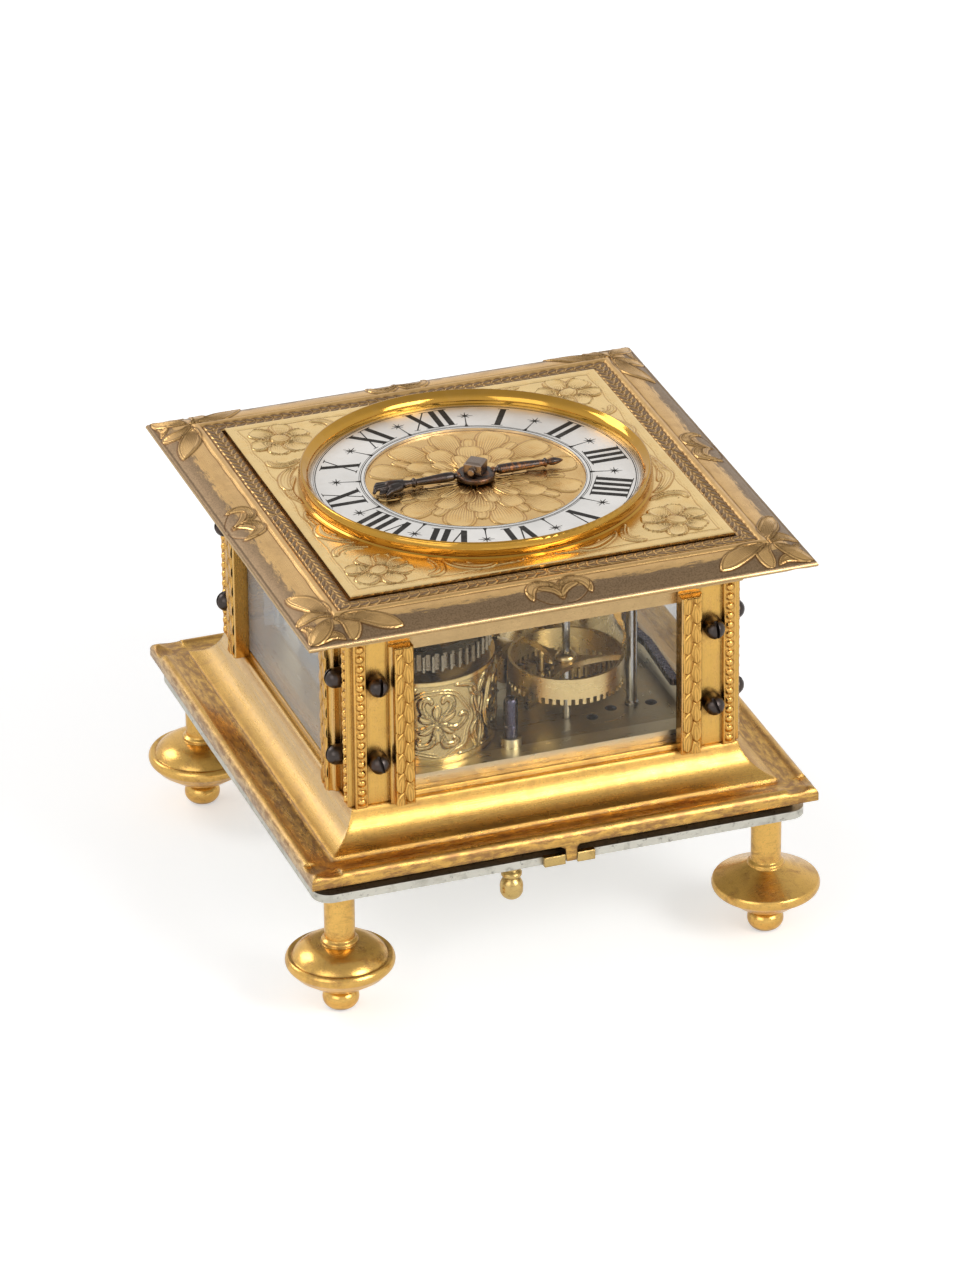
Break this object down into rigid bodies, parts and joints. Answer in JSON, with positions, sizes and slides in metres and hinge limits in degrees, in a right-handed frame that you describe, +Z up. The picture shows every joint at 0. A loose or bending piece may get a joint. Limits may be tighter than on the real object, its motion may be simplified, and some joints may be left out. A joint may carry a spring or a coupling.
{
  "type": "table clock",
  "caption": "Square horizontal table clock lying dial upwards on turned feet, with glazed sides, a hand, a going train with fusee, a striking train and a bell inside.",
  "frame": {"origin": "on the table, under the middle of the clock", "axes": "+Z up out of the dial, +Y towards XII and the case hinge, +X towards III"},
  "size_m": [0.1278, 0.1278, 0.1046],
  "materials": {
    "gilt_brass": "fire-gilt brass, warm yellow, rubbed thin and grey-brown on the edges",
    "engraved_gilt": "gilt brass engraved with flowers and scrolls",
    "polished_gilt": "polished gilding",
    "silvered": "silvered matt brass with black engraved numerals",
    "tinned_iron": "pale metal plate with a hammered, marked edge",
    "dark_iron": "dark iron, slightly rusted",
    "blued_steel": "dark blued steel",
    "steel": "bright turned steel",
    "plate_brass": "old gilt plate, dull and scratched",
    "movement_brass": "clean cut brass wheels",
    "bell_metal": "pale turned bell metal",
    "gut": "twisted gut line",
    "glass": "thin old clear glass"
  },
  "bodies": {
    "stand": {"bottom_cover": "tinned_iron", "foot_front_left": "gilt_brass", "foot_front_right": "gilt_brass", "foot_back_left": "gilt_brass", "foot_back_right": "gilt_brass", "pull_knob": "gilt_brass", "latch_jaws": "gilt_brass", "bell": "bell_metal", "bell_post": "steel", "cover_hinge_leaf": "gilt_brass", "hinge_pin": "steel"},
    "case": {"base_moulding": "gilt_brass", "case_hinge_leaf": "gilt_brass", "column_front_left": "gilt_brass", "column_front_right": "gilt_brass", "column_back_left": "gilt_brass", "column_back_right": "gilt_brass", "corner_posts": "gilt_brass", "case_screws": "dark_iron", "front_glass": "glass", "back_glass": "glass", "left_glass": "glass", "right_glass": "glass", "top_frame": "gilt_brass", "dial_plate": "engraved_gilt", "dial_bezel": "polished_gilt", "chapter_ring": "silvered", "dial_rosette": "engraved_gilt", "lower_plate": "plate_brass", "upper_plate": "plate_brass", "pillars": "steel", "stop_post": "blued_steel", "escapement_brackets": "movement_brass", "balance_cock": "movement_brass", "movement_screws": "dark_iron", "strike_barrel": "engraved_gilt", "strike_mainspring": "blued_steel", "fusee_line": "gut", "going_mainspring": "blued_steel"},
    "hour": {"hour_wheel": "movement_brass", "hour_hand": "dark_iron", "hand_collar": "dark_iron"},
    "fusee_body": {"fusee": "movement_brass", "going_great_wheel": "movement_brass", "fusee_arbor": "steel"},
    "second": {"second_wheel": "movement_brass"},
    "contrate": {"contrate_wheel": "movement_brass", "contrate_arbor": "steel"},
    "crown": {"crown_wheel": "movement_brass"},
    "balance": {"balance_wheel": "steel", "verge": "steel"},
    "barrel": {"going_barrel": "movement_brass"},
    "strike": {"strike_great_wheel": "dark_iron", "strike_arbor": "steel", "count_wheel": "movement_brass"},
    "pin": {"pin_wheel": "movement_brass"},
    "hoop": {"hoop_wheel": "movement_brass"},
    "fly_body": {"fly": "steel"},
    "hammer_body": {"hammer": "steel"},
    "lever": {"strike_lever": "blued_steel"}
  },
  "joints": [
    {"name": "case_tilt", "type": "hinge", "parent": "stand", "child": "case", "pos_m": [0, 0.0586, 0.0346], "axis": [-1, 0, 0], "range_deg": [0, 95]},
    {"name": "fusee_spin", "type": "hinge", "parent": "case", "child": "fusee_body", "pos_m": [0.021, 0, 0.048], "axis": [0, 0, 1], "continuous": true},
    {"name": "hour_turn", "type": "hinge", "parent": "case", "child": "hour", "pos_m": [0, 0, 0.09], "axis": [0, 0, 1], "continuous": true},
    {"name": "second_spin", "type": "hinge", "parent": "case", "child": "second", "pos_m": [0.01066, -0.01349, 0.048], "axis": [0, 0, 1], "continuous": true},
    {"name": "contrate_spin", "type": "hinge", "parent": "case", "child": "contrate", "pos_m": [0.0113, -0.0286, 0.048], "axis": [0, 0, 1], "continuous": true},
    {"name": "crown_spin", "type": "hinge", "parent": "case", "child": "crown", "pos_m": [0.0113, -0.0286, 0.05936], "axis": [-0.528, 0.8492, 0], "continuous": true},
    {"name": "barrel_spin", "type": "hinge", "parent": "case", "child": "barrel", "pos_m": [-0.022, 0.023, 0.048], "axis": [0, 0, 1], "continuous": true},
    {"name": "strike_spin", "type": "hinge", "parent": "case", "child": "strike", "pos_m": [-0.0219, -0.0226, 0.048], "axis": [0, 0, 1], "continuous": true},
    {"name": "pin_spin", "type": "hinge", "parent": "case", "child": "pin", "pos_m": [-0.02027, -0.00397, 0.048], "axis": [0, 0, 1], "continuous": true},
    {"name": "hoop_spin", "type": "hinge", "parent": "case", "child": "hoop", "pos_m": [-0.00961, -0.00009, 0.048], "axis": [0, 0, 1], "continuous": true},
    {"name": "fly_spin", "type": "hinge", "parent": "case", "child": "fly_body", "pos_m": [-0.011, 0.00777, 0.048], "axis": [0, 0, 1], "continuous": true},
    {"name": "balance_swing", "type": "hinge", "parent": "case", "child": "balance", "pos_m": [0.00003, -0.01047, 0.048], "axis": [0, 0, 1], "range_deg": [-50, 50]},
    {"name": "hammer_lift", "type": "hinge", "parent": "case", "child": "hammer_body", "pos_m": [-0.036, -0.006, 0.048], "axis": [0, 0, -1], "range_deg": [0, 14]},
    {"name": "lever_move", "type": "hinge", "parent": "case", "child": "lever", "pos_m": [0.0386, 0.002, 0.048], "axis": [0, 0, -1], "range_deg": [0, 4]}
  ],
  "couplings": [
    {"joint": "hour_turn", "follows": "fusee_spin", "ratio": -0.25},
    {"joint": "second_spin", "follows": "fusee_spin", "ratio": -7.5},
    {"joint": "contrate_spin", "follows": "fusee_spin", "ratio": 60},
    {"joint": "crown_spin", "follows": "fusee_spin", "ratio": -480},
    {"joint": "barrel_spin", "follows": "fusee_spin", "ratio": 0.7049},
    {"joint": "pin_spin", "follows": "strike_spin", "ratio": -6},
    {"joint": "hoop_spin", "follows": "strike_spin", "ratio": 48},
    {"joint": "fly_spin", "follows": "strike_spin", "ratio": -288}
  ]
}
